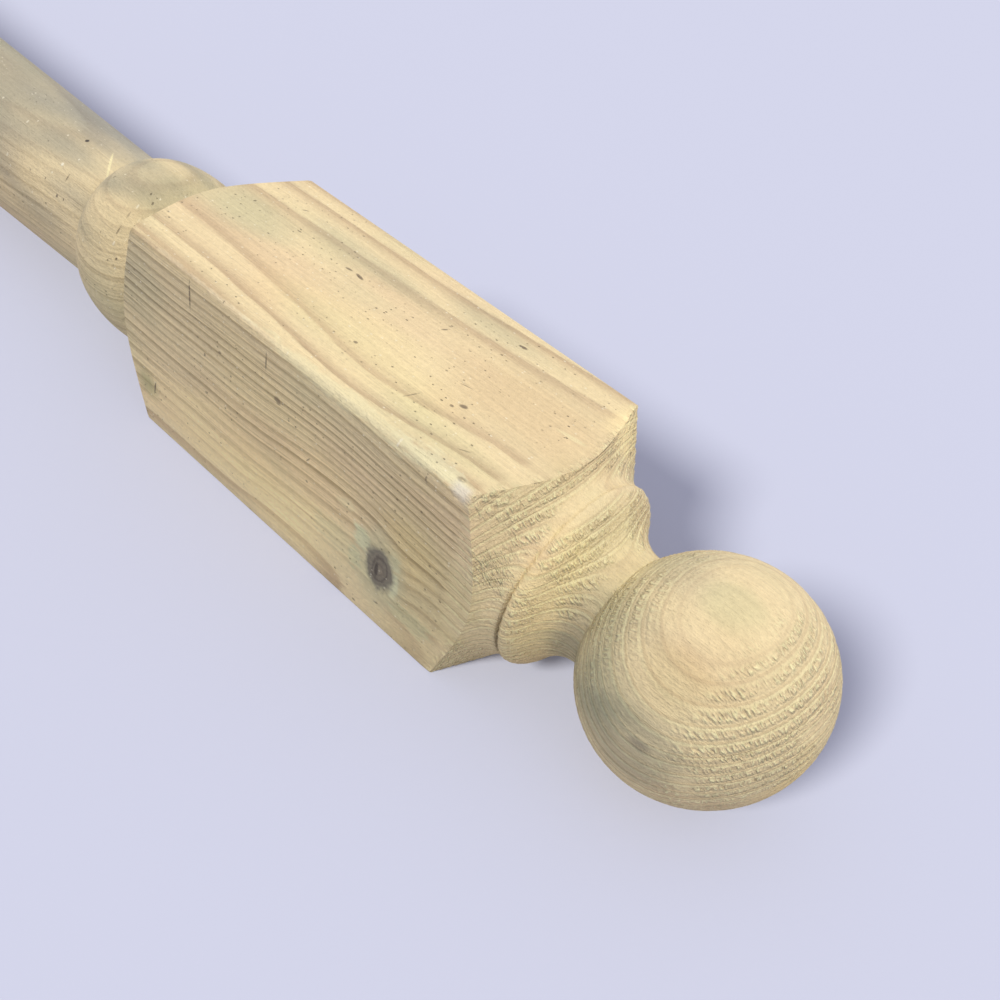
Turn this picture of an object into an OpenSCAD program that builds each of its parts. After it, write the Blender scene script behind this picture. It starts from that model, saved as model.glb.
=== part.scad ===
// Turned timber newel post, lying on its side.
// The long axis runs along +X from the foot to the ball, and +Z is up.
// The origin is the centre of the foot's end face.

/* [Timber] */
// Width of the square timber
post_w = 82; // [66:1:110]
// Overall length, from the foot to the top of the ball
post_l = 1275; // [1000:5:1800]
// Rounding along the long edges of the square blocks
arris_r = 2; // [0.5:0.5:4]

/* [Square blocks] */
// Length of the base block, up to the corners of its shoulder
base_l = 428; // [150:1:600]
// Length of the upper block, from corner to corner
block_l = 169.4; // [80:0.1:250]
// Length of each shoulder, from the block's corners to its lip
shoulder_l = 18.1; // [12:0.1:28]
// Length over which a shoulder falls steeply before it flattens
shoulder_fall = 10.6; // [6:0.1:12]
// Depth of a shoulder's lip below the block's faces
lip_depth = 5.3; // [3:0.1:10]
// Width of the groove beside each lip
quirk_w = 0.8; // [0.5:0.1:2]

/* [Ball and neck] */
// Depth of the ball's widest line below the block's faces
ball_depth = 0.2; // [0:0.1:12]
// Depth of the neck under the ball, below the block's faces
neck_depth = 19.1; // [14:0.1:24]
// Length of the neck's straight stretch
neck_l = 1.2; // [0:0.1:10]

/* [Bell] */
// Depth of the bell's widest point below the block's faces
bell_depth = 4.8; // [3:0.1:10]
// Depth of the groove at the foot of the bell, below the bell
bell_groove = 2.3; // [1:0.1:4]
// Length of the small round on the bell's lower edge
bell_edge = 1.2; // [0.6:0.1:3]
// Length from the bell's widest point to the start of its slope
bell_round = 3.2; // [1:0.1:8]
// Length of the slope between the bell and the neck
bell_slope = 8.4; // [4:0.1:20]
// Length from the slope to the narrowest part of the neck
neck_cove = 8.2; // [2:0.1:20]

/* [Upper bead] */
// Length of the bead under the upper block
bead_l = 44.1; // [16:0.1:60]
// Depth of its crown below the block's faces
bead_depth = 3.6; // [2:0.1:8]

/* [Shaft] */
// Depth of the shaft below the faces, where it leaves the upper bead
shaft_top_depth = 12.6; // [8:0.1:20]
// Depth of the shaft below the faces, at its thick lower end
shaft_low_depth = 3; // [1:0.1:10]
// Length of the round-over at the shaft's lower end
shaft_round = 16; // [6:0.5:30]

/* [Lower bead] */
// Length of the bead above the base block
foot_bead_l = 26; // [12:0.5:50]
// Depth of the narrow stretch above it, below the faces
foot_neck_depth = 12; // [8:0.1:20]
// Length of that narrow stretch
foot_neck_l = 3; // [1:0.5:12]

/* [Hidden] */
$fn = 96;

half_w = post_w / 2;
ball_r = half_w - ball_depth;
neck_r = half_w - neck_depth;
bell_r = half_w - bell_depth;
lip_r = half_w - lip_depth;
bead_r = half_w - bead_depth;
shaft_top_r = half_w - shaft_top_depth;
shaft_low_r = half_w - shaft_low_depth;
foot_neck_r = half_w - foot_neck_depth;

// The turning cuts nothing where its outline passes the timber's corners
corner_r = half_w * sqrt(2);
clear = 4;

// Heights above the foot, worked down from the ball
ball_h = post_l - ball_r;
neck_top_h = ball_h - sqrt(ball_r * ball_r - neck_r * neck_r);
neck_h = neck_top_h - neck_l;
cove_h = neck_h - neck_cove;
slope_h = cove_h - bell_slope;
bell_h = slope_h - bell_round;
bell_groove_h = bell_h - bell_edge;
top_lip_h = bell_groove_h - quirk_w;
top_corner_h = top_lip_h - shoulder_l;
low_corner_h = top_corner_h - block_l;
low_lip_h = low_corner_h - shoulder_l;
bead_top_h = low_lip_h - quirk_w;
shaft_top_h = bead_top_h - bead_l;

// Heights worked up from the foot
base_lip_h = base_l + shoulder_l;
foot_bead_h = base_lip_h + quirk_w;
foot_neck_h = foot_bead_h + foot_bead_l;
shaft_round_h = foot_neck_h + foot_neck_l;
shaft_low_h = shaft_round_h + shaft_round;

// A smooth curve from a to c that leaves and arrives pointing at b
function bend(a, b, c, steps = 10) = [
    for (i = [0:steps])
        let (t = i / steps)
            (1 - t) * (1 - t) * a + 2 * t * (1 - t) * b + t * t * c
];

// A bead's outline: half an ellipse standing on radius r, rising to crown
function bead(r, crown, h, length, steps = 20) = [
    for (i = [0:steps])
        let (turn = 180 * i / steps)
            [r + (crown - r) * sin(turn), h + length * (1 - cos(turn)) / 2]
];

// A shoulder from the lip to the timber's corners. It points up the post
// with way = 1, and down it with way = -1
function shoulder(lip_h, way) = concat(
    bend(
        [lip_r, lip_h],
        [lip_r + 1, lip_h - way * (shoulder_l - shoulder_fall)],
        [corner_r, lip_h - way * shoulder_l]
    ),
    [[corner_r + clear, lip_h - way * (shoulder_l + clear / 4)]]
);

function reversed(points) = [for (i = [len(points) - 1:-1:0]) points[i]];

// The quarter round at the shaft's lower end
function round_over(steps = 10) = [
    for (i = [0:steps])
        let (turn = 90 * i / steps)
            [
                foot_neck_r + (shaft_low_r - foot_neck_r) * sin(turn),
                shaft_round_h + shaft_round * (1 - cos(turn))
            ]
];

// The bell's S-shaped side, whose two curves meet part of the way up its slope
bell_side_start = [bell_r, slope_h];
bell_side_end = [neck_r, cove_h];
bell_turn = bell_side_start + 0.38 * (bell_side_end - bell_side_start);

outline = concat(
    [[0, 0], [corner_r + clear, 0]],
    reversed(shoulder(base_lip_h, 1)),
    bead(foot_neck_r, bead_r, foot_bead_h, foot_bead_l),
    round_over(),
    [[shaft_top_r, shaft_top_h]],
    bead(shaft_top_r, bead_r, shaft_top_h, bead_l),
    shoulder(low_lip_h, -1),
    reversed(shoulder(top_lip_h, 1)),
    [[bell_r - bell_groove, bell_groove_h]],
    bend([bell_r - bell_groove / 3, bell_groove_h], [bell_r, bell_groove_h], [bell_r, bell_h], 4),
    bend([bell_r, bell_h], bell_side_start, bell_turn, 8),
    bend(bell_turn, bell_side_end, [neck_r, neck_h]),
    [[neck_r, ball_h], [0, ball_h]]
);

module square_timber() {
    linear_extrude(post_l) {
        square([post_w, post_w - 2 * arris_r], center = true);
        square([post_w - 2 * arris_r, post_w], center = true);
        for (x = [-1, 1], y = [-1, 1])
            translate([x, y] * (half_w - arris_r)) circle(arris_r);
    }
}

module turning() {
    rotate_extrude() polygon(outline);
    translate([0, 0, ball_h]) sphere(ball_r);
}

module newel_post() {
    color([0.84, 0.74, 0.53])
        rotate([0, 90, 0])
            intersection() {
                square_timber();
                turning();
            }
}

newel_post();
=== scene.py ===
# Turned newel post in pale treated pine, lying on its side on a plain floor.
# Lengths are in millimetres until a mesh is written, which is in metres.
import math

import bmesh
import bpy
import numpy as np
from mathutils import Matrix, Vector, noise


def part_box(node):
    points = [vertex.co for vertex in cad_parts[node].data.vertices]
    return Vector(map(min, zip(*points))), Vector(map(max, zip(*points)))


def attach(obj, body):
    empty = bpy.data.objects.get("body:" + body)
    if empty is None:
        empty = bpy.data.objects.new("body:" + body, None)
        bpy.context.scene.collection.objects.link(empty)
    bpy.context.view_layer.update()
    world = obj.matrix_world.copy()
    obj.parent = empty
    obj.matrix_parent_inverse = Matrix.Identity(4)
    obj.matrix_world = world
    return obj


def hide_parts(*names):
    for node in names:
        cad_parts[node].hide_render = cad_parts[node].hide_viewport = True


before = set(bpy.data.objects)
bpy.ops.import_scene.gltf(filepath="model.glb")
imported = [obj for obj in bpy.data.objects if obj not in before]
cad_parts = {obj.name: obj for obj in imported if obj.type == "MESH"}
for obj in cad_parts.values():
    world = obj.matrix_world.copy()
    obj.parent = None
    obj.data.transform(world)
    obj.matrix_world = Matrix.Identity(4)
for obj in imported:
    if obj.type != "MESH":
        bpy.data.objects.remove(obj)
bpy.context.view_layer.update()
print("frame loaded")
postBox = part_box("newel_post")

mm = 0.001
postLength = (postBox[1][0] - postBox[0][0]) / mm
postWidth = (postBox[1][1] - postBox[0][1]) / mm
halfWidth = postWidth / 2

# What the lathe left. Depths are below the faces of the square blocks,
# lengths run along the post.
turning = dict(
    baseLength=428,
    blockLength=169.4,
    shoulderLength=18.1,
    shoulderFall=10.6,
    shoulderRise=1,
    lipDepth=5.3,
    quirk=0.8,
    ballDepth=0.2,
    neckDepth=19.1,
    neckLength=1.2,
    bellDepth=4.8,
    bellGroove=2.3,
    bellEdge=1.2,
    bellRound=3.2,
    bellSlope=8.4,
    bellTurn=0.38,  # share of the way down the bell where its curve turns
    neckCove=8.2,
    beadLength=44.1,
    beadDepth=3.6,
    shaftTopDepth=12.6,
    shaftLowDepth=3,
    shaftRound=16,
    footBeadLength=26,
    footNeckDepth=12,
    footNeckLength=3,
)

# How finely the mesh is divided: columns run round the post, rows are lengths
# along it and the rest are steps in a curve
mesh = dict(
    columns=112,
    nearCuts=2,
    knotCuts=2,
    footRow=3,
    baseRow=13,
    shaftRow=11,
    blockRow=3,
    lowShoulder=12,
    topShoulder=24,
    footBead=14,
    topBead=24,
    shaftRound=8,
    bellEdge=4,
    bellRound=12,
    bellCove=18,
    ballStep=1.1,  # degrees
    faceCurve=200,
    even=0.62,  # how evenly the columns spread across a flat face
)

ballRadius = halfWidth - turning["ballDepth"]
ballAt = postLength - ballRadius
neckRadius = halfWidth - turning["neckDepth"]
cornerRadius = halfWidth * math.sqrt(2)


def bend(a, b, c, steps):
    # a curve from a to c that sets out towards b
    points = []
    for i in range(steps + 1):
        t = i / steps
        points.append(tuple((1 - t) ** 2 * p + 2 * t * (1 - t) * q + t * t * r for p, q, r in zip(a, b, c)))
    return points


def bead(start, length, base, crown, steps):
    # half an oval that rises from base to crown and falls back
    points = []
    for i in range(steps + 1):
        turn = math.pi * i / steps
        points.append((start + length * (1 - math.cos(turn)) / 2, base + (crown - base) * math.sin(turn)))
    return points


def straight(a, b, step):
    count = max(1, round(math.dist(a, b) / step))
    return [tuple(p + (q - p) * i / count for p, q in zip(a, b)) for i in range(count + 1)]


def shoulder(lipAt, way, steps):
    lip = halfWidth - turning["lipDepth"]
    length, fall = turning["shoulderLength"], turning["shoulderFall"]
    turn = (lipAt - way * (length - fall), lip + turning["shoulderRise"])
    return bend((lipAt, lip), turn, (lipAt - way * length, cornerRadius), steps)


def heights():
    # places along the post, worked out from the ball down and from the foot up
    t = turning
    h = {}
    h["neckTop"] = ballAt - math.sqrt(ballRadius**2 - neckRadius**2)
    h["neck"] = h["neckTop"] - t["neckLength"]
    h["cove"] = h["neck"] - t["neckCove"]
    h["slope"] = h["cove"] - t["bellSlope"]
    h["bell"] = h["slope"] - t["bellRound"]
    h["bellGroove"] = h["bell"] - t["bellEdge"]
    h["topLip"] = h["bellGroove"] - t["quirk"]
    h["topCorner"] = h["topLip"] - t["shoulderLength"]
    h["lowCorner"] = h["topCorner"] - t["blockLength"]
    h["lowLip"] = h["lowCorner"] - t["shoulderLength"]
    h["beadTop"] = h["lowLip"] - t["quirk"]
    h["shaftTop"] = h["beadTop"] - t["beadLength"]
    h["baseLip"] = t["baseLength"] + t["shoulderLength"]
    h["footBead"] = h["baseLip"] + t["quirk"]
    h["footNeck"] = h["footBead"] + t["footBeadLength"]
    h["shaftRound"] = h["footNeck"] + t["footNeckLength"]
    h["shaftLow"] = h["shaftRound"] + t["shaftRound"]
    return h


at = heights()
nearStart = at["topCorner"] - 4  # from here to the ball the mesh is fine enough for torn grain


def outlinePoints():
    t = turning
    bellRadius = halfWidth - t["bellDepth"]
    beadRadius = halfWidth - t["beadDepth"]
    shaftTop = halfWidth - t["shaftTopDepth"]
    shaftLow = halfWidth - t["shaftLowDepth"]
    footNeck = halfWidth - t["footNeckDepth"]
    groove = bellRadius - t["bellGroove"]
    bellTop = (at["bell"], bellRadius)
    sideStart, sideEnd = (at["slope"], bellRadius), (at["cove"], neckRadius)
    turn = tuple(p + t["bellTurn"] * (q - p) for p, q in zip(sideStart, sideEnd))
    pieces = [
        straight((0, 0), (0, cornerRadius), mesh["footRow"]),
        straight((0, cornerRadius), (t["baseLength"], cornerRadius), mesh["baseRow"]),
        shoulder(at["baseLip"], 1, mesh["lowShoulder"])[::-1],
        bead(at["footBead"], t["footBeadLength"], footNeck, beadRadius, mesh["footBead"]),
        straight((at["footNeck"], footNeck), (at["shaftRound"], footNeck), mesh["footRow"]),
        [
            (
                at["shaftRound"] + t["shaftRound"] * (1 - math.cos(a)),
                footNeck + (shaftLow - footNeck) * math.sin(a),
            )
            for a in np.linspace(0, math.pi / 2, mesh["shaftRound"] + 1)
        ],
        straight((at["shaftLow"], shaftLow), (at["shaftTop"], shaftTop), mesh["shaftRow"]),
        bead(at["shaftTop"], t["beadLength"], shaftTop, beadRadius, mesh["topBead"]),
        shoulder(at["lowLip"], -1, mesh["lowShoulder"]),
        straight((at["lowCorner"], cornerRadius), (at["topCorner"], cornerRadius), mesh["blockRow"]),
        shoulder(at["topLip"], 1, mesh["topShoulder"])[::-1],
        bend((at["bellGroove"], groove), (at["bellGroove"], bellRadius), bellTop, mesh["bellEdge"]),
        bend(bellTop, sideStart, turn, mesh["bellRound"]),
        bend(turn, sideEnd, (at["neck"], neckRadius), mesh["bellCove"]),
    ]
    start = math.degrees(math.asin(neckRadius / ballRadius))
    count = round((180 - start) / mesh["ballStep"])
    pieces.append(
        [
            (ballAt - ballRadius * math.cos(a), ballRadius * math.sin(a))
            for a in np.radians(np.linspace(start, 180, count + 1))
        ]
    )
    points = []
    for piece in pieces:
        for p in piece:
            if not points or math.dist(p, points[-1]) > 0.01:
                points.append(p)
    return points


# Rounding of the long corners of the square parts; the worn one is upper front
arris = dict(plain=1.2, worn=3.2)

# The shaft was turned a little off the middle of the square blocks
drift = dict(across=1.1, up=-2.3, easeFrom=2, easeIn=9, easeOut=190)

# The groove beside the bell was cut shallower on the upper side
grooveFade = dict(spread=0.6, low=-0.4, high=0.85, share=0.95)


def smooth(low, high, value):
    t = np.clip((value - low) / (high - low), 0, 1)
    return t * t * (3 - 2 * t)


def hump(centre, spread, value):
    return np.exp(-0.5 * ((value - centre) / spread) ** 2)


def squareColumn(theta):
    # spreads the columns out across each flat face, a little closer at the corners
    face = np.round(theta / (math.pi / 2)) * (math.pi / 2)
    u = (theta - face) / (math.pi / 4)
    return face + np.arctan(mesh["even"] * u + (1 - mesh["even"]) * np.sin(u * math.pi / 2))


def squareRadius(theta):
    across, up = np.cos(theta), np.sin(theta)
    flat = halfWidth / np.maximum(np.abs(across), np.abs(up))
    rounding = np.where((across < 0) & (up > 0), arris["worn"], arris["plain"])
    centre = halfWidth - rounding
    along = centre * (np.abs(across) + np.abs(up))
    onArc = np.minimum(np.abs(across), np.abs(up)) * flat > centre
    arc = along + np.sqrt(np.maximum(0, along**2 - 2 * centre**2 + rounding**2))
    return np.where(onArc, arc, flat)


def cutFaces(x, radius, theta):
    # squares the blocks; the turned shoulders run out on the flat faces, furthest
    # from the lip at the corners
    base = at["baseLip"] - turning["shoulderLength"]
    ends = (
        (at["baseLip"], base, 0),
        (at["lowLip"], at["lowCorner"], at["topCorner"]),
        (at["topLip"], at["topCorner"], at["lowCorner"]),
    )
    weight = np.zeros_like(x)
    for lipAt, cornerAt, other in ends:
        way = 1 if lipAt > cornerAt else -1
        inside = ((x - lipAt) * way <= 0) & ((x - other) * way >= 0)
        share = smooth(0, 1, (x - lipAt) / (cornerAt - lipAt))
        weight = np.where(inside, np.maximum(weight, share), weight)
    theta = theta * (1 - weight) + squareColumn(theta) * weight
    square = squareRadius(theta)
    newX = x.copy()
    newRadius = np.where(x < 0.001, radius * square / cornerRadius, radius)
    crease = {}
    for lipAt, cornerAt, other in ends:
        curve = np.array(shoulder(lipAt, 1 if lipAt > cornerAt else -1, mesh["faceCurve"]))
        crease[cornerAt] = np.interp(square, curve[:, 1], curve[:, 0])
        t = (x - lipAt) / (cornerAt - lipAt)
        row = (t > 0.0001) & (t < 0.9999)
        moved = lipAt + (crease[cornerAt] - lipAt) * t
        order = np.argsort(curve[:, 0])
        newX = np.where(row, moved, newX)
        newRadius = np.where(row, np.interp(moved, curve[order, 0], curve[order, 1]), newRadius)
    onBase = (x >= 0.001) & (x <= base + 0.001)
    newX = np.where(onBase, x / base * crease[base], newX)
    low, high = at["lowCorner"], at["topCorner"]
    onBlock = (x >= low - 0.001) & (x <= high + 0.001)
    t = (x - low) / (high - low)
    newX = np.where(onBlock, crease[low] + (crease[high] - crease[low]) * t, newX)
    return newX, np.where(onBase | onBlock, square, newRadius), theta


# The growth rings: where the heart of the tree lies below the post, how wide each
# year's growth is from the lower face up, and how the rings swell past the knot.
# Distances along the post are from the ball's centre.
rings = dict(
    heartAlong=(-250, -75, -20),
    heartUp=(-48.2, -46.8, -48.4),
    heartAcross=(1, 8.7),
    acrossAlong=(-200, 0),
    farFrom=-250,
    farUp=(3, 210),
    farAcross=(6, 260),
    frontFrom=(-12, -38),
    firstRing=44.2,
    widths=(3.3, 2.5, 3.2, 4.5, 3.2, 3.8, 3.2, 3.3, 2.0, 3.5, 3.1, 3.3, 2.7, 1.8, 3.2, 3.6),
    plainWidth=3.1,
    nearLift=12.5,
    climb=(22, 57),
    liftRise=(-190, -112),
    liftFall=(-60, -30),
    knotLift=4.5,
    knotLiftAt=(-120, 12),
    knotLiftReach=(28, 10),
    topSwell=1.7,
    topSwellAt=(-133, 25),
    topSwellEdge=(0, -18),
    wander=0.3,
    yearsInside=20,
)
knot = dict(along=-105.4, up=-14, halfLength=6.6, halfHeight=9.2, fineAlong=26, fineUp=22)

# How the rings bend beside the knot: offset along, reach along, reach up, lift
besideKnot = ((9, 7, 11, -5), (-10, 7, 11, 2))


def ringDepth(x, y, z):
    # years of growth from the heart at each point
    r = rings
    xr = x - ballAt
    far = np.clip(r["farFrom"] - xr, 0, None)
    heartUp = np.interp(xr, r["heartAlong"], r["heartUp"]) - r["farUp"][0] * np.sin(far / r["farUp"][1])
    start, end = r["heartAcross"]
    across = start + (end - start) * smooth(*r["acrossAlong"], xr)
    across = across + r["farAcross"][0] * np.sin(far / r["farAcross"][1])
    # the low front edge grew faster, so its rings climb towards the ball
    top, reach = r["climb"]
    lift = r["nearLift"] * np.clip((top - z) / reach, 0, 1)
    lift = lift * smooth(*r["liftRise"], xr) * (1 - smooth(*r["liftFall"], xr))
    (liftAt, liftUp), (reachAlong, reachUp) = r["knotLiftAt"], r["knotLiftReach"]
    lift = lift + r["knotLift"] * hump(liftAt, reachAlong, xr) * hump(liftUp, reachUp, z)
    for offset, reachAlong, reachUp, amount in besideKnot:
        beside = np.hypot((xr - knot["along"] - offset) / reachAlong, (z - knot["up"]) / reachUp)
        lift = lift + amount * hump(0, 1, beside)
    height = z - lift * smooth(*r["frontFrom"], y) - heartUp
    depth = np.hypot(y - across, height)
    swell = hump(*r["topSwellAt"], xr) * smooth(*r["topSwellEdge"], y) * smooth(20, 41, z)
    depth = depth - r["topSwell"] * swell
    wander = np.sin(xr / 23 + y / 31) + np.sin(xr / 9.7 - z / 17 + 1.3) * 0.4
    wander = wander + np.sin(xr / 51 + z / 13 + y / 19)
    depth = depth + r["wander"] * wander * (1 - 0.6 * smooth(25, 41, z))
    edges = r["firstRing"] + np.concatenate(([0], np.cumsum(r["widths"])))
    inner = (depth - edges[0]) / r["plainWidth"]
    outer = len(edges) - 1 + (depth - edges[-1]) / r["plainWidth"]
    inside = np.interp(depth, edges, np.arange(len(edges)))
    years = np.where(depth < edges[0], inner, np.where(depth > edges[-1], outer, inside))
    return r["yearsInside"] + years


def steepness(points, normals, depth):
    # 1 where the surface cuts square across the rings, 0 where it lies along one
    step = 0.2
    slope = np.stack([ringDepth(*(points + step * np.eye(3)[i]).T) - depth for i in range(3)], axis=1)
    slope /= np.maximum(np.linalg.norm(slope, axis=1), 1e-9)[:, None]
    return np.sqrt(np.clip(1 - np.sum(slope * normals, axis=1) ** 2, 0, 1))


# Rough marks of the lathe and the chipped corner, all cut into the surface
relief = dict(
    ridge=0.24,
    tear=0.31,
    slant=18,
    fibre=0.05,
    chip=0.9,
    chipSize=3.7,
    chipAt=(-79, -40.6, 40.2),
    smoothPatch=(-57, 0, 36),
    smoothReach=(6, 22, 8),
)


def noiseField(points, scale, seed):
    offset = Vector((seed * 7.3, seed * 3.1, seed * 5.7))
    return np.array([noise.noise(Vector(p) + offset) for p in points * np.array(scale)])


def addRelief(points, normals, depth, steep):
    r = relief
    slant = np.array(Matrix.Rotation(math.radians(r["slant"]), 3, "X"))
    near = smooth(nearStart, nearStart + 6, points[:, 0])
    t = depth % 1
    late = smooth(0.52, 0.68, t) * (1 - smooth(0.85, 0.93, t))
    endGrain = smooth(0.12, 0.42, np.where(normals[:, 0] > 0, normals[:, 0], -0.6 * normals[:, 0]))
    cut = r["ridge"] * (1 - late) * smooth(0.2, 0.6, steep) * near
    rows = noiseField(points @ slant, (0.35, 0.95, 0.35), seed=3)
    uneven = smooth(-0.5, 0, noiseField(points, (0.07, 0.07, 0.07), seed=5))
    torn = smooth(0.02, 0.2, t) * (1 - smooth(0.6, 0.75, t)) * endGrain * uneven * near
    planed = (points - np.array(r["smoothPatch"]) - np.array((ballAt, 0, 0))) / np.array(r["smoothReach"])
    torn = torn * smooth(0.7, 1.2, np.linalg.norm(planed, axis=1))
    torn = torn * (1 - 0.9 * hump(at["bellGroove"], 1.0, points[:, 0]))
    cut = cut + r["tear"] * smooth(0.05, 0.35, rows) * torn
    cut = cut + r["fibre"] * (noiseField(points, (0.5, 1.6, 1.6), seed=9) + 0.7) * near
    chipAt = np.array(r["chipAt"]) + np.array((ballAt, 0, 0))
    fromChip = np.linalg.norm((points - chipAt) / np.array((1.3, 1, 1)), axis=1)
    rough = 1 + 0.45 * noiseField(points, (0.35, 0.35, 0.35), seed=11)
    chip = np.clip(1 - fromChip / (r["chipSize"] * rough), 0, 1)
    cut = cut + r["chip"] * smooth(0, 0.5, chip)
    return points - normals * cut[:, None], torn, smooth(0, 0.35, chip)


def spinPost():
    bm = bmesh.new()
    chain = [bm.verts.new((x, 0, r)) for x, r in outlinePoints()]
    for a, b in zip(chain, chain[1:]):
        bm.edges.new((a, b))
    bmesh.ops.spin(
        bm,
        geom=bm.verts[:] + bm.edges[:],
        cent=(0, 0, 0),
        axis=(1, 0, 0),
        angle=2 * math.pi,
        steps=mesh["columns"],
        use_merge=True,
    )
    bmesh.ops.remove_doubles(bm, verts=bm.verts, dist=0.0001)
    near = [e for e in bm.edges if e.verts[0].co.x > nearStart]
    hoops = [e for e in near if abs(e.verts[0].co.x - e.verts[1].co.x) < 0.001]
    bmesh.ops.subdivide_edges(bm, edges=hoops, cuts=mesh["nearCuts"], use_grid_fill=True)
    return bm


def shapePost(bm):
    co = np.array([v.co[:] for v in bm.verts])
    outline = np.array([p for p in outlinePoints() if p[0] > nearStart])
    radius = np.hypot(co[:, 1], co[:, 2])
    onNear = co[:, 0] > nearStart
    radius = np.where(onNear, np.interp(co[:, 0], outline[:, 0], outline[:, 1]), radius)
    x, radius, theta = cutFaces(co[:, 0], radius, np.arctan2(co[:, 2], co[:, 1]))
    groove = hump(at["bellGroove"], grooveFade["spread"], x)
    groove = groove * smooth(grooveFade["low"], grooveFade["high"], np.sin(theta))
    radius = radius + groove * (halfWidth - turning["lipDepth"] - radius) * grooveFade["share"]
    start = at["lowLip"] + drift["easeFrom"]
    off = smooth(start, start - drift["easeIn"], x)
    off = off * smooth(at["footNeck"], at["footNeck"] + drift["easeOut"], x)
    for v, along, r, turn, share in zip(bm.verts, x, radius, theta, off):
        across, up = share * drift["across"], share * drift["up"]
        v.co = (along, r * math.cos(turn) + across, r * math.sin(turn) + up)
    around = []
    for f in bm.faces:
        middle = f.calc_center_median()
        beside = abs(middle.x - ballAt - knot["along"]) < knot["fineAlong"]
        if middle.y < 0.5 - halfWidth and beside and abs(middle.z - knot["up"]) < knot["fineUp"]:
            around.append(f)
    edges = list({e for f in around for e in f.edges})
    bmesh.ops.subdivide_edges(bm, edges=edges, cuts=mesh["knotCuts"], use_grid_fill=True)
    bmesh.ops.recalc_face_normals(bm, faces=bm.faces)


# Stains, painted shade and painted light, each told by its middle from the ball's centre,
# reach each way, what it multiplies the colour by, and strength
stainsShadeAndLight = (
    ((-240, 2, 41), (28, 17, 8), (0.78, 0.85, 0.86), 0.9),
    ((-185, 20, 41), (45, 8, 8), (0.78, 0.83, 0.86), 0.85),
    ((-130, 30, 41), (35, 7, 8), (0.78, 0.83, 0.86), 0.8),
    ((-92, 6, 41), (45, 22, 8), (0.91, 0.86, 0.84), 0.9),
    ((-100, -27, 41), (34, 8, 6), (0.92, 0.97, 0.94), 0.8),
    ((-88, -41, -8), (28, 8, 46), (0.85, 0.86, 0.78), 0.8),
    ((-245, -41, 22), (22, 8, 18), (0.84, 0.88, 0.90), 0.8),
    ((-243, -41, -22), (8, 8, 6), (0.62, 0.70, 0.62), 0.9),
    # painted shade on the ball's lower front side, in this line and the next
    ((-26, -28, 12), (24, 22, 28), (0.74, 0.79, 0.82), 0.95),
    ((-2, -41, 0), (30, 12, 17), (0.70, 0.74, 0.78), 0.95),
    ((3, -40.5, 4), (4.5, 5, 2.2), (0.62, 0.62, 0.68), 0.85),
    ((-1, -32, 25), (16, 14, 10), (0.94, 0.91, 0.86), 0.9),
    ((-50, -22, 4), (9, 26, 38), (1.14, 1.12, 1.02), 0.9),
    ((-68, -14, 14), (8, 40, 44), (0.95, 0.96, 0.93), 0.9),
    ((-38, -14, 12), (7, 20, 24), (0.92, 0.89, 0.90), 0.9),
    ((8, -20, 30), (16, 16, 14), (0.95, 0.93, 0.91), 0.9),
    ((-165, -41, 0), (50, 8, 40), (1.06, 1.06, 1.0), 0.9),
    ((-94, -41, 4), (16, 8, 14), (1.10, 1.08, 1.0), 0.9),
    # painted shade low on the front of the neck, under the ball
    ((-37, -22, -8), (9, 16, 18), (0.66, 0.70, 0.74), 0.9),
    # painted light on the far upper corner of the shoulder by the ball
    ((-71, 32, 34), (8, 16, 14), (1.22, 1.22, 1.12), 0.9),
    ((42, -8, -6), (8, 26, 22), (1.10, 1.06, 0.94), 0.8),
    ((-1, -8, 40), (12, 12, 7), (0.88, 0.95, 0.92), 0.8),
    ((-24, -2, 36), (22, 22, 12), (0.82, 0.84, 0.88), 0.9),
    ((-190, -41, -22), (75, 8, 18), (1.16, 1.17, 1.10), 0.9),
    ((-135, -41, -2), (30, 8, 16), (1.10, 1.10, 1.06), 0.8),
    # painted highlight along the worn upper front arris
    ((-160, -40.6, 40.6), (90, 1.7, 1.7), (1.10, 1.12, 1.2), 0.9),
    ((-160, -15, 41), (60, 18, 8), (1.08, 1.06, 1.0), 0.8),
    # this and the next four make the bead and shaft darker and greyer, most on the shaft's top
    ((-420, 0, 34), (165, 60, 48), (0.62, 0.68, 0.80), 1.0),
    ((-268, 0, 36), (16, 40, 22), (0.86, 0.89, 0.88), 1.0),
    ((-345, 18, 30), (50, 26, 20), (0.82, 0.87, 1.0), 0.9),
    ((-285, 0, 0), (30, 60, 60), (0.85, 0.86, 0.85), 1.0),
    ((-400, 0, 0), (110, 60, 60), (0.86, 0.86, 0.87), 1.0),
    # painted shade on the ball's lower front side
    ((-16, -36, 9), (18, 14, 18), (0.80, 0.84, 0.85), 0.95),
)


def stainShadeAndLightTint(points):
    wave = noiseField(points, (0.03, 0.1, 0.1), seed=13)
    tint = np.ones_like(points)
    for middle, reach, colour, strength in stainsShadeAndLight:
        away = points - np.array(middle) - np.array((ballAt, 0, 0))
        away = np.linalg.norm(away / np.array(reach), axis=1)
        share = strength * (1 - smooth(0.35, 1.15, away + 0.4 * wave))
        tint *= 1 - share[:, None] * (1 - np.array(colour))
    return tint


def storeFloats(data, name, values):
    data.attributes.new(name, "FLOAT", "POINT").data.foreach_set("value", values.astype(np.float32))


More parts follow.
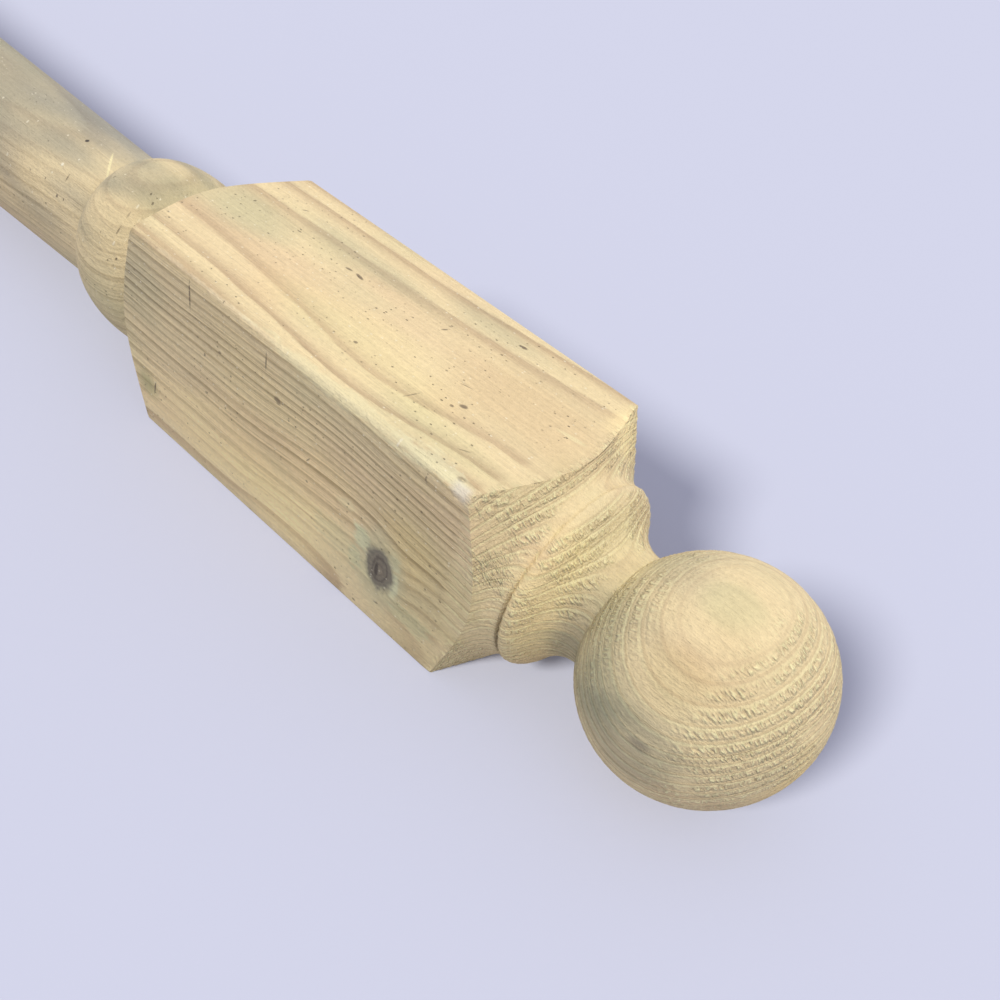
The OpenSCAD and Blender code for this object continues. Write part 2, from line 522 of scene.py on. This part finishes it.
def buildPost():
    bm = spinPost()
    shapePost(bm)
    data = bpy.data.meshes.new("newelPost")
    bm.to_mesh(data)
    bm.free()
    data.polygons.foreach_set("use_smooth", [True] * len(data.polygons))
    data.set_sharp_from_angle(angle=math.radians(28))
    points = np.array([v.co[:] for v in data.vertices])
    normals = np.array([v.normal[:] for v in data.vertices])
    depth = ringDepth(*points.T)
    steep = steepness(points, normals, depth)
    points, torn, bruised = addRelief(points, normals, depth, steep)
    data.vertices.foreach_set("co", (points * mm).ravel())
    storeFloats(data, "rings", depth)
    storeFloats(data, "steep", steep)
    storeFloats(data, "torn", torn)
    storeFloats(data, "bruised", bruised)
    # painted shade in the groove beside the bell, strongest on its lower side
    lower = 1 - smooth(-0.4, 0.7, points[:, 2] / halfWidth)
    storeFloats(data, "grooveShade", hump(at["bellGroove"] - 0.1, 0.8, points[:, 0]) * lower)
    tint = data.attributes.new("tint", "FLOAT_VECTOR", "POINT")
    tint.data.foreach_set("vector", stainShadeAndLightTint(points).ravel())
    data.update()
    piece = bpy.data.objects.new("newel_post_turned", data)
    bpy.context.scene.collection.objects.link(piece)
    triangles = sum(len(p.vertices) - 2 for p in data.polygons)
    print("post:", len(data.vertices), "vertices,", triangles, "triangles")
    return piece


# Pine: colours are linear, year is how dark the wood is at each share of a year's
# growth, and the shares are how strongly each kind of mark shows, painted highlights
# and painted shade among them.
pine = dict(
    early=(0.885, 0.705, 0.375),
    late=(0.32, 0.215, 0.085),
    lateFlat=(0.47, 0.31, 0.165),
    pink=(0.85, 0.645, 0.35),
    green=(0.74, 0.66, 0.345),
    # the next colour serves pale scratches and painted highlights
    paleAndHighlight=(0.98, 0.86, 0.45),
    # the next colour is pale crushed wood on the chipped corner, partly a painted highlight
    chipAndHighlight=(0.82, 0.77, 0.62),
    # the next colour is dark specks and marks, and also painted shade in the groove beside the bell
    speck=(0.16, 0.11, 0.06),
    # the next colour is pale flakes and dots, partly painted glints
    flakeAndGlint=(1.0, 0.92, 0.66),
    year=((0.0, 0.35), (0.06, 0.0), (0.46, 0.06), (0.7, 0.42), (0.86, 0.95), (0.96, 0.95), (1.0, 0.35)),
    bandShare=0.68,
    ridgeHighlightShare=0.6,
    fineShare=0.3,
    litShare=0.95,
    tornShadeShare=0.16,
    speckShare=0.7,
    flakeAndGlintShare=0.5,
    chipAndHighlightShare=0.6,
    grooveShadeShare=0.75,
    roughness=0.72,
    bump=0.0014,
)

# Where handling has worn the front face's lines away: middle, reach, strength
wornFront = dict(along=-185, up=-26, reach=(72, 8, 34), strength=0.25)

# Each patch of another colour: middle from the ball's centre, reach each way, colour, strength
patches = (
    ((-128, -39.5, 40.2), (46, 3.4, 3.4), (0.87, 0.77, 0.43), 0.6),
    ((-92, -38.5, 40.5), (16, 5.5, 4), (0.86, 0.78, 0.45), 0.65),
    ((-205, -40.5, 41), (40, 1.4, 1.4), (0.92, 0.80, 0.50), 0.4),
    ((-115.5, -41, -7), (4.5, 6, 5.5), (0.80, 0.79, 0.44), 0.75),
    ((-118, -41, -17), (3.5, 6, 6), (0.68, 0.66, 0.35), 0.6),
    ((-98, -41, -16), (2.2, 6, 7.5), (0.84, 0.82, 0.47), 0.8),
    ((-99, -41, -6), (3, 6, 4), (0.72, 0.68, 0.37), 0.5),
    ((-88, -41, -25), (11, 6, 5), (0.60, 0.58, 0.30), 0.5),
    ((-128, -41, -15), (12, 6, 8), (0.66, 0.60, 0.32), 0.35),
)

# Each mark: place along, place up or across, half length, half width, turn in degrees,
# strength, face
marks = (
    (-210.5, 33.2, 6.8, 0.6, 88, 0.8, "front"),
    (-168.3, 31.6, 4.2, 0.55, 88, 0.75, "front"),
    (-162, 20, 2.0, 1.6, 0, 0.6, "front"),
    (-194, 20, 1.1, 0.6, 20, 0.6, "front"),
    (-203, 14, 1.0, 0.6, 70, 0.6, "front"),
    (-207, 19, 0.8, 0.5, 0, 0.5, "front"),
    (-145, 6.5, 1.9, 0.4, 50, 0.6, "front"),
    (-145, -3, 0.9, 0.7, 0, 0.5, "front"),
    (-203, -2, 0.9, 0.6, 0, 0.5, "front"),
    (-238, -21.5, 3.8, 0.5, 75, 0.75, "front"),
    (-105, -30, 1.2, 0.5, 10, 0.6, "front"),
    (-116, -38, 1.0, 0.6, 0, 0.6, "front"),
    (-92, 36, 1.2, 0.5, 80, 0.6, "front"),
    (-187, 10, 2.0, 0.7, 8, 0.75, "top"),
    (-181, 10, 2.4, 0.8, -12, 0.8, "top"),
    (-141, 14, 2.2, 0.6, 60, 0.7, "top"),
    (-119, 30.5, 2.2, 0.9, 10, 0.85, "top"),
    (-216, 11, 1.4, 0.5, 0, 0.6, "top"),
    (-120, -21.5, 3.6, 0.35, 75, 0.6, "top"),
    (-106.5, -11.5, 1.7, 1.1, 20, 0.8, "top"),
    (-109, -14.5, 0.9, 0.7, 0, 0.7, "top"),
    (-114, -3, 3.0, 0.3, 15, 0.6, "top"),
    (-91, -27, 2.6, 0.35, 30, 0.55, "top"),
    (-151, -18, 1.0, 0.8, 0, 0.7, "top"),
    (-227, 23, 1.8, 0.4, 40, 0.6, "top"),
    (-82, -37, 2.0, 1.2, 10, 0.5, "top"),
)

# Each pale scratch, told as the marks are
scratches = (
    (-316, -6, 10, 0.7, -42, 0.75, "shaft"),
    (-76, 7, 6.5, 1.2, 8, 0.45, "top"),
    (-124, 2, 6, 2.4, 10, 0.35, "front"),
)

# How deep a mark reaches into the wood, and where the shaft's own scratch lies
markDepth = dict(flat=2, shaft=8)
shaftScratchUp = 24.5

# Each small round mark on the shaft: middle from the ball's centre, size, colour, strength
dots = (
    (-336.2, -3.5, 26, 1.0, (0.05, 0.04, 0.03), 0.95),
    (-328.4, -24, 11, 0.8, (0.12, 0.09, 0.06), 0.8),
    (-391.8, -5.4, 25.6, 0.8, pine["flakeAndGlint"], 0.7),
    (-372.5, -7.7, 24.9, 0.8, pine["flakeAndGlint"], 0.8),
    (-334, -16.8, 19.9, 0.9, pine["flakeAndGlint"], 0.8),
    (-361.6, -26, 6.5, 0.7, pine["flakeAndGlint"], 0.7),
    (-351.5, -24.7, 9.8, 0.8, pine["flakeAndGlint"], 0.8),
    (-336.5, -20.5, 16.3, 0.7, pine["flakeAndGlint"], 0.7),
    (-367.9, -23.6, 11.8, 0.8, pine["flakeAndGlint"], 0.7),
    (-343, -22, 14, 0.6, pine["flakeAndGlint"], 0.6),
    (-355, -16, 20, 0.6, pine["flakeAndGlint"], 0.6),
    (-329, -12, 23, 0.6, pine["flakeAndGlint"], 0.6),
)


# Builds a material's nodes in short calls. Below, t is a Tree and s holds the sockets
# that the parts of the pine material share.
class Tree:
    def __init__(self, material):
        self.nodes = material.node_tree.nodes
        self.links = material.node_tree.links

    def add(self, kind, settings=None, **sockets):
        node = self.nodes.new(kind)
        for name, value in (settings or {}).items():
            setattr(node, name, value)
        for name, value in sockets.items():
            self.put(node.inputs[name], value)
        return node

    def put(self, socket, value):
        if isinstance(value, bpy.types.NodeSocket):
            self.links.new(value, socket)
        else:
            socket.default_value = value

    def math(self, operation, *values, clamp=False):
        node = self.nodes.new("ShaderNodeMath")
        node.operation = operation
        node.use_clamp = clamp
        for socket, value in zip(node.inputs, values):
            self.put(socket, value)
        return node.outputs[0]

    def step(self, low, high, value, top=1.0):
        node = self.nodes.new("ShaderNodeMapRange")
        node.interpolation_type = "SMOOTHSTEP"
        for name, v in (("Value", value), ("From Min", low), ("From Max", high), ("To Max", top)):
            self.put(node.inputs[name], v)
        return node.outputs[0]

    def mixed(self, share, a, b):
        node = self.nodes.new("ShaderNodeMix")
        for index, value in ((0, share), (2, a), (3, b)):
            self.put(node.inputs[index], value)
        return node.outputs[0]

    def blend(self, share, a, b, mode="MIX"):
        node = self.nodes.new("ShaderNodeMix")
        node.data_type = "RGBA"
        node.blend_type = mode
        for index, value in ((0, share), (6, a), (7, b)):
            if isinstance(value, tuple):
                value = (*value, 1)
            self.put(node.inputs[index], value)
        return node.outputs[2]

    def ramp(self, value, stops):
        node = self.nodes.new("ShaderNodeValToRGB")
        elements = node.color_ramp.elements
        while len(elements) < len(stops):
            elements.new(0.5)
        for element, (position, level) in zip(elements, stops):
            element.position = position
            element.color = (level, level, level, 1)
        self.put(node.inputs[0], value)
        return node.outputs[0]

    def spot(self, place, middle, reach, turn=(0, 0, 0)):
        # distance from a middle point, 1 at the given reach along each axis
        settings = dict(vector_type="TEXTURE")
        node = self.add("ShaderNodeMapping", settings, Vector=place, Location=middle, Scale=reach)
        node.inputs["Rotation"].default_value = [math.radians(a) for a in turn]
        length = self.add("ShaderNodeVectorMath", dict(operation="LENGTH"))
        self.put(length.inputs[0], node.outputs[0])
        return length.outputs["Value"]

    def noise(self, vector, stretch, detail=2.0, rough=0.5):
        stretched = self.add("ShaderNodeVectorMath", dict(operation="MULTIPLY"))
        self.put(stretched.inputs[0], vector)
        self.put(stretched.inputs[1], stretch)
        sockets = dict(Vector=stretched.outputs[0], Scale=1.0, Detail=detail, Roughness=rough)
        return self.add("ShaderNodeTexNoise", None, **sockets).outputs["Fac"]

    def scaled(self, vector, scale):
        node = self.add("ShaderNodeVectorMath", dict(operation="SCALE"))
        self.put(node.inputs[0], vector)
        self.put(node.inputs["Scale"], scale)
        return node.outputs[0]


def knotColour(t, place, colour):
    wave = t.noise(place, (0.17, 0.17, 0.17), 4.0, 0.6)
    middle = (knot["along"] + ballAt, -halfWidth, knot["up"])
    out = t.spot(place, middle, (knot["halfLength"], 14, knot["halfHeight"]))
    out = t.math("ADD", out, t.math("MULTIPLY_ADD", wave, 0.9, -0.45))
    hoop = t.math("MULTIPLY_ADD", t.math("SINE", t.math("MULTIPLY", out, 20.0)), 0.5, 0.5)
    core = t.blend(t.math("MULTIPLY", hoop, 0.5), (0.16, 0.13, 0.085), (0.31, 0.265, 0.17))
    core = t.blend(t.step(0.55, 1.05, out, 0.6), core, (0.36, 0.33, 0.21))
    core = t.blend(t.step(0.4, 0.1, out, 0.6), core, (0.33, 0.27, 0.17))
    colour = t.blend(t.step(2.4, 1.2, out, 0.45), colour, (0.60, 0.58, 0.33))
    pith = t.spot(place, (middle[0] - 1.5, middle[1], middle[2] - 1), (1.0, 9, 3.6))
    core = t.blend(t.step(1.2, 0.6, pith, 0.8), core, (0.07, 0.055, 0.035))
    return t.blend(t.step(1.25, 0.85, out), colour, core)


def readSurface(t):
    # what the mesh carries, and the place on the post in millimetres
    s = {}
    for name in ("rings", "torn", "bruised", "grooveShade", "steep"):
        s[name] = t.add("ShaderNodeAttribute", dict(attribute_name=name)).outputs["Fac"]
    s["tint"] = t.add("ShaderNodeAttribute", dict(attribute_name="tint")).outputs["Vector"]
    s["place"] = t.scaled(t.add("ShaderNodeTexCoord").outputs["Object"], 1 / mm)
    s["x"], s["y"], s["z"] = t.add("ShaderNodeSeparateXYZ", None, Vector=s["place"]).outputs
    s["turned"] = t.step(at["topCorner"] - 2, at["topCorner"] + 2, s["x"])
    s["onFlat"] = t.math("SUBTRACT", 1.0, t.step(0.25, 0.75, s["steep"]))
    slanted = t.add("ShaderNodeMapping", None, Vector=s["place"])
    slanted.inputs["Rotation"].default_value = (math.radians(-relief["slant"]), 0, 0)
    s["fleck"] = t.noise(slanted.outputs[0], (0.5, 1.55, 0.42), 0.0, 0.5)
    return s


def addGrain(t, s):
    # the dark summer wood of each year: broad bands on the blocks and shaft, and
    # past the block a thin line, with a pale painted highlight on the ridge beside it
    place = s["place"]
    frayed = t.noise(place, (0.03, 0.9, 0.9), 3.0, 0.6)
    s["depth"] = t.math("ADD", s["rings"], t.math("MULTIPLY", t.math("SUBTRACT", frayed, 0.5), 0.22))
    year = t.math("FLOOR", s["depth"])
    own = t.add("ShaderNodeTexWhiteNoise", dict(noise_dimensions="1D"), W=year).outputs["Value"]
    part = t.math("FRACT", s["depth"])
    band = t.ramp(part, pine["year"])
    band = t.math("MULTIPLY", band, t.math("MULTIPLY_ADD", own, 0.6, 0.4))
    faint = t.noise(place, (0.011, 0.1, 0.1), 3.0, 0.6)
    faint = t.math("MULTIPLY", faint, t.step(at["beadTop"] - 3, at["beadTop"] + 3, s["x"]))
    band = t.math("MULTIPLY", band, t.math("MULTIPLY_ADD", faint, 1.35, 0.5), clamp=True)
    worn = t.spot(place, (ballAt + wornFront["along"], -halfWidth, wornFront["up"]), wornFront["reach"])
    worn = t.step(1.3, 0.5, worn, wornFront["strength"])
    band = t.math("MULTIPLY", band, t.math("SUBTRACT", 1.0, worn))
    thin = t.math("MULTIPLY", t.step(0.76, 0.9, part), t.step(1.0, 0.94, part))
    thin = t.mixed(s["onFlat"], t.math("MULTIPLY", thin, 0.42), t.math("MULTIPLY", band, 0.4))
    s["late"] = t.mixed(s["turned"], band, thin)
    ridge = t.math("MULTIPLY", t.step(0.56, 0.68, part), t.step(0.86, 0.8, part))
    s["ridge"] = t.math("MULTIPLY", ridge, t.math("MULTIPLY", s["turned"], t.step(0.3, 0.7, s["steep"])))


def woodColour(t, s):
    # pink and green drifts, then the year's lines, fine lines between them, a painted
    # highlight on the ring ridges, and painted highlights and painted shade on the torn grain
    patch = t.noise(s["place"], (0.008, 0.03, 0.03), 2.0)
    colour = t.blend(t.step(0.48, 0.72, patch), pine["early"], pine["pink"])
    patch = t.noise(s["place"], (0.011, 0.022, 0.022), 2.0)
    colour = t.blend(t.step(0.52, 0.78, patch, 0.6), colour, pine["green"])
    dark = t.blend(s["onFlat"], pine["late"], pine["lateFlat"])
    colour = t.blend(t.math("MULTIPLY", s["late"], pine["bandShare"]), colour, dark)
    # painted highlight on the raised ring ridges of the turned parts
    colour = t.blend(t.math("MULTIPLY", s["ridge"], pine["ridgeHighlightShare"]), colour, pine["paleAndHighlight"])
    along, across = t.math("MULTIPLY", s["x"], 0.012), t.math("MULTIPLY", s["depth"], 7.0)
    fine = t.add("ShaderNodeCombineXYZ", None, X=along, Y=across)
    fine = t.noise(fine.outputs[0], (1.0, 1.0, 1.0), 2.0, 0.6)
    fine = t.math("MULTIPLY", t.step(0.52, 0.36, fine), t.step(0.3, 0.8, s["steep"]))
    colour = t.blend(t.math("MULTIPLY", fine, pine["fineShare"]), colour, pine["late"])
    # painted highlights on the lit sides of the torn grain
    lit = t.math("MULTIPLY", t.step(0.53, 0.62, s["fleck"]), s["torn"])
    colour = t.blend(t.math("MULTIPLY", lit, pine["litShare"]), colour, pine["paleAndHighlight"])
    # painted shade in the pits of the torn grain
    tornShade = t.math("MULTIPLY", t.step(0.40, 0.31, s["fleck"]), s["torn"])
    colour = t.blend(t.math("MULTIPLY", tornShade, pine["tornShadeShare"]), colour, pine["late"])
    return t.blend(1.0, colour, s["tint"], "MULTIPLY")


def addPatches(t, s, colour):
    ragged = t.noise(s["place"], (0.12, 0.3, 0.45), 4.0, 0.65)
    for middle, reach, tint, strength in patches:
        away = t.spot(s["place"], (middle[0] + ballAt, *middle[1:]), reach)
        away = t.math("ADD", away, t.math("MULTIPLY_ADD", ragged, 2.4, -1.2))
        colour = t.blend(t.step(1.2, 0.5, away, strength), colour, tint)
    return colour


def markMask(t, place, wave, mark):
    along, other, length, width, turn, strength, face = mark
    x = along + ballAt
    if face == "front":
        away = t.spot(place, (x, -halfWidth, other), (length, markDepth["flat"], width), (0, -turn, 0))
    elif face == "top":
        away = t.spot(place, (x, other, halfWidth), (length, width, markDepth["flat"]), (0, 0, turn))
    else:
        away = t.spot(place, (x, other, shaftScratchUp), (length, width, markDepth["shaft"]), (0, 0, turn))
    away = t.math("ADD", away, t.math("MULTIPLY_ADD", wave, 0.8, -0.4))
    return t.step(1.1, 0.5, away, strength)


def addMarks(t, s, colour):
    wave = t.noise(s["place"], (0.08, 0.12, 0.12), 3.0)
    for group, tint in ((marks, pine["speck"]), (scratches, pine["paleAndHighlight"])):
        mask = 0.0
        for mark in group:
            mask = t.math("MAXIMUM", mask, markMask(t, s["place"], wave, mark))
        broken = t.step(0.15, 0.4, s["fleck"]) if group is marks else 1.0
        colour = t.blend(t.math("MULTIPLY", mask, broken), colour, tint)
    return colour


def addSpecks(t, s, colour):
    # small dark pits, and pale flakes that are partly painted glints, scattered over the blocks and the
    # shaft
    cells = t.add("ShaderNodeCombineXYZ", None, X=t.math("MULTIPLY", s["x"], 0.28))
    t.put(cells.inputs[1], t.math("MULTIPLY", t.math("SUBTRACT", s["y"], s["z"]), 0.42))
    cells = t.add("ShaderNodeTexVoronoi", dict(voronoi_dimensions="2D"), Vector=cells.outputs[0], Scale=1.0)
    pick = t.add("ShaderNodeSeparateColor", None, Color=cells.outputs["Color"]).outputs[0]
    away = cells.outputs["Distance"]
    onSides = t.math("MULTIPLY", t.math("SUBTRACT", 1.0, s["turned"]), t.step(0.5, 1.5, s["x"]))
    speck = t.step(0.0, 0.07, t.math("SUBTRACT", t.math("MULTIPLY_ADD", pick, 0.36, -0.2), away))
    speck = t.math("MULTIPLY", speck, t.step(0.42, 0.6, t.noise(s["place"], (0.03, 0.06, 0.06), 2.0)))
    s["speck"] = t.math("MULTIPLY", speck, t.math("MULTIPLY", onSides, 0.9))
    colour = t.blend(t.math("MULTIPLY", s["speck"], pine["speckShare"]), colour, pine["speck"])
    # pale flakes, partly painted glints
    flakeAndGlint = t.step(0.0, 0.06, t.math("SUBTRACT", t.math("MULTIPLY_ADD", pick, -0.5, 0.16), away))
    flakeAndGlint = t.math("MULTIPLY", flakeAndGlint, onSides)
    colour = t.blend(t.math("MULTIPLY", flakeAndGlint, pine["flakeAndGlintShare"]), colour, pine["flakeAndGlint"])
    for along, across, up, size, tint, strength in dots:
        away = t.spot(s["place"], (along + ballAt, across, up), (size, size, size))
        colour = t.blend(t.step(1.2, 0.7, away, strength), colour, tint)
    return colour


def pineMaterial():
    material = bpy.data.materials.new("treatedPine")
    material.use_nodes = True
    material.node_tree.nodes.clear()
    t = Tree(material)
    output = t.add("ShaderNodeOutputMaterial")
    shader = t.add("ShaderNodeBsdfPrincipled", None, Roughness=pine["roughness"])
    t.links.new(shader.outputs[0], output.inputs[0])
    s = readSurface(t)
    addGrain(t, s)
    colour = addPatches(t, s, woodColour(t, s))
    colour = knotColour(t, s["place"], colour)
    colour = addMarks(t, s, colour)
    colour = addSpecks(t, s, colour)
    streaks = t.noise(s["place"], (0.012, 0.7, 0.7), 3.0, 0.6)
    fibres = t.noise(s["place"], (0.05, 2.4, 2.4), 3.0, 0.6)
    mottle = t.noise(s["place"], (0.5, 0.7, 0.7), 3.0, 0.7)
    fibres = t.math("ADD", t.math("MULTIPLY", fibres, 0.4), t.math("MULTIPLY_ADD", streaks, 0.24, 0.68))
    fibres = t.math("MULTIPLY", fibres, t.math("MULTIPLY_ADD", mottle, 0.34, 0.83))
    colour = t.scaled(colour, fibres)
    # pale crushed wood on the chipped corner, partly a painted highlight
    colour = t.blend(t.math("MULTIPLY", s["bruised"], pine["chipAndHighlightShare"]), colour, pine["chipAndHighlight"])
    # painted shade in the groove beside the bell, in the dark speck colour
    colour = t.blend(t.math("MULTIPLY", s["grooveShade"], pine["grooveShadeShare"]), colour, pine["speck"])
    t.put(shader.inputs["Base Color"], colour)
    height = t.math("MULTIPLY", s["fleck"], s["torn"])
    for source, amount in ((fibres, 0.5), (s["late"], 0.2), (mottle, 0.35), (s["speck"], -0.4)):
        height = t.math("MULTIPLY_ADD", source, amount, height)
    bump = t.add("ShaderNodeBump", None, Strength=1.0, Distance=pine["bump"], Height=height)
    t.put(shader.inputs["Normal"], bump.outputs[0])
    print("pine:", len(t.nodes), "nodes")
    return material


# The view: lengths from the ball's centre, angles in degrees
view = dict(
    lens=34.82,
    shift=(0.0377, 0.1644),
    azimuth=33.71,
    elevation=49.6,
    roll=14.74,
    distance=292.2,
    aim=(-51.6, -57.35, 0),
)


def wayTo(azimuth, elevation):
    # from the post towards a viewer or a light; 0, 0 is straight out from the front
    turn, rise = math.radians(azimuth), math.radians(elevation)
    return Vector((math.sin(turn) * math.cos(rise), -math.cos(turn) * math.cos(rise), math.sin(rise)))


def addCamera():
    back = wayTo(view["azimuth"], view["elevation"])
    lens = bpy.data.cameras.new("camera")
    lens.lens = view["lens"]
    lens.shift_x, lens.shift_y = view["shift"]
    lens.clip_start = 0.01
    camera = bpy.data.objects.new("camera", lens)
    target = Vector((ballAt, 0, 0)) + Vector(view["aim"])
    camera.location = (target + back * view["distance"]) * mm
    tilt = Matrix.Rotation(math.radians(view["roll"]), 4, "Z")
    camera.rotation_euler = (back.to_track_quat("Z", "Y").to_matrix().to_4x4() @ tilt).to_euler()
    bpy.context.scene.collection.objects.link(camera)
    bpy.context.scene.camera = camera


# The light: a pale sky, a broad soft light on the post alone, and a side light on the
# floor alone, so that the post's shadow shows beyond it
skyColour = (0.665, 0.679, 0.839)
postLight = dict(colour=(1.0, 0.97, 0.86), strength=1.48, angle=45)
postLightWay = Vector((0.2, -0.1, 0.97))
floorLight = dict(colour=(1, 1, 1), strength=5.0, angle=14)
floorLightWay = wayTo(azimuth=-3, elevation=37.5)


def addSky():
    world = bpy.data.worlds.new("studio")
    world.use_nodes = True
    world.node_tree.nodes["Background"].inputs["Color"].default_value = (*skyColour, 1)
    bpy.context.scene.world = world


def addLight(name, settings, way, target):
    lamp = bpy.data.lights.new(name, "SUN")
    lamp.energy = settings["strength"]
    lamp.color = settings["colour"]
    lamp.angle = math.radians(settings["angle"])
    sun = bpy.data.objects.new(name, lamp)
    sun.rotation_euler = way.to_track_quat("Z", "Y").to_euler()
    bpy.context.scene.collection.objects.link(sun)
    lit = bpy.data.collections.new(name + "Only")
    lit.objects.link(target)
    sun.light_linking.receiver_collection = lit


# The floor's colour, the even glow mixed into it, and the share of its colour that
# bounces onto the post
floor = dict(
    colour=(0.406, 0.41, 0.463),
    glow=(0.672, 0.686, 0.848),
    glowShare=0.1,
    bounce=0.74,
    size=6,
)


def addFloor():
    bm = bmesh.new()
    bmesh.ops.create_grid(bm, x_segments=1, y_segments=1, size=floor["size"] / 2)
    data = bpy.data.meshes.new("floor")
    bm.to_mesh(data)
    bm.free()
    plane = bpy.data.objects.new("floor", data)
    plane.location = (postLength * mm / 2, 0, postBox[0].z)
    bpy.context.scene.collection.objects.link(plane)
    paint = bpy.data.materials.new("floorPaint")
    paint.use_nodes = True
    paint.node_tree.nodes.clear()
    t = Tree(paint)
    output = t.add("ShaderNodeOutputMaterial")
    seen = t.add("ShaderNodeLightPath").outputs["Is Camera Ray"]
    colour = t.blend(seen, tuple(c * floor["bounce"] for c in floor["colour"]), floor["colour"])
    matt = t.add("ShaderNodeBsdfDiffuse", None, Color=colour)
    glow = t.add("ShaderNodeEmission", None, Color=(*floor["glow"], 1))
    mixed = t.add("ShaderNodeMixShader", None, Fac=t.math("MULTIPLY", seen, floor["glowShare"]))
    t.links.new(matt.outputs[0], mixed.inputs[1])
    t.links.new(glow.outputs[0], mixed.inputs[2])
    t.links.new(mixed.outputs[0], output.inputs[0])
    data.materials.append(paint)
    addLight("floorLight", floorLight, floorLightWay, plane)


piece = buildPost()
piece.data.materials.append(pineMaterial())
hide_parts("newel_post")
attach(piece, "root")
print("post placed")
addCamera()
addSky()
addLight("softSun", postLight, postLightWay, piece)
addFloor()
bpy.context.scene.view_settings.view_transform = "Standard"
print("view, light and floor set")
